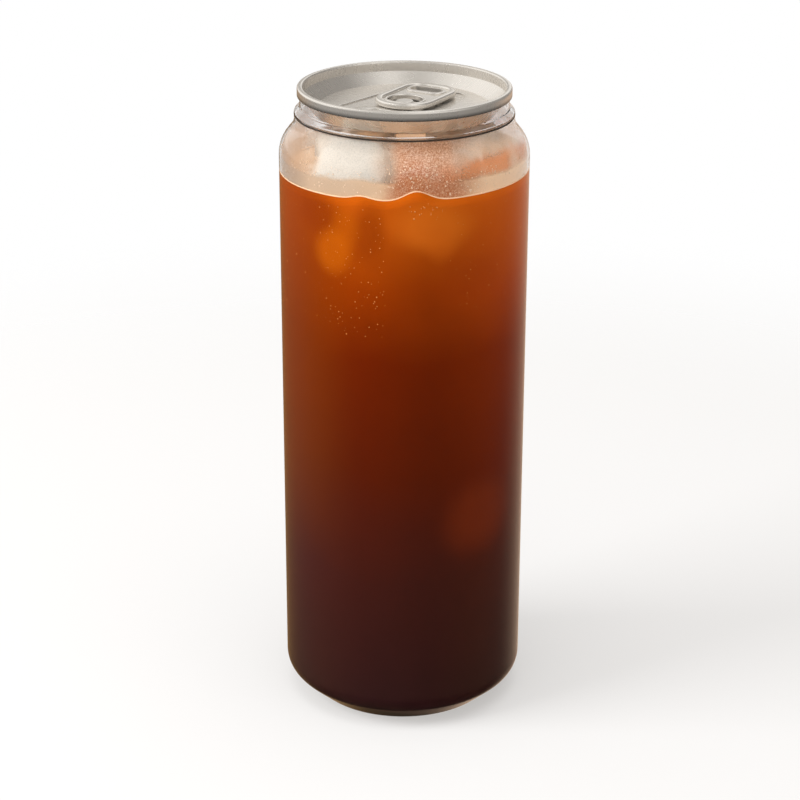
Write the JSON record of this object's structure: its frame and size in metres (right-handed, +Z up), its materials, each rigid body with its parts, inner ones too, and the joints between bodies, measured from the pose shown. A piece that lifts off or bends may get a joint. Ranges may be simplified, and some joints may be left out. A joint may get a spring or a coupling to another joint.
{
  "type": "clear beverage can",
  "caption": "Tall clear drink can with an aluminium easy-open end and pull tab, filled with a dark iced drink that turns amber at the top around floating ice.",
  "frame": {"origin": "middle of the ring that the can stands on", "axes": "+Z up along the can's axis, -Y towards the front, +X to the right seen from the front"},
  "size_m": [0.0644, 0.0644, 0.1692],
  "materials": {
    "clear_pet": "clear, glossy",
    "end_aluminium": "satin",
    "tab_aluminium": "satin",
    "drink": "clear dark brown liquid, amber near its surface",
    "ice": "frosted clear ice"
  },
  "bodies": {
    "root": {"can_body": "clear_pet", "can_lid": "end_aluminium", "pull_tab": "tab_aluminium", "drink": "drink", "ice_1": "ice", "ice_2": "ice", "ice_3": "ice", "ice_4": "ice"}
  },
  "joints": []
}
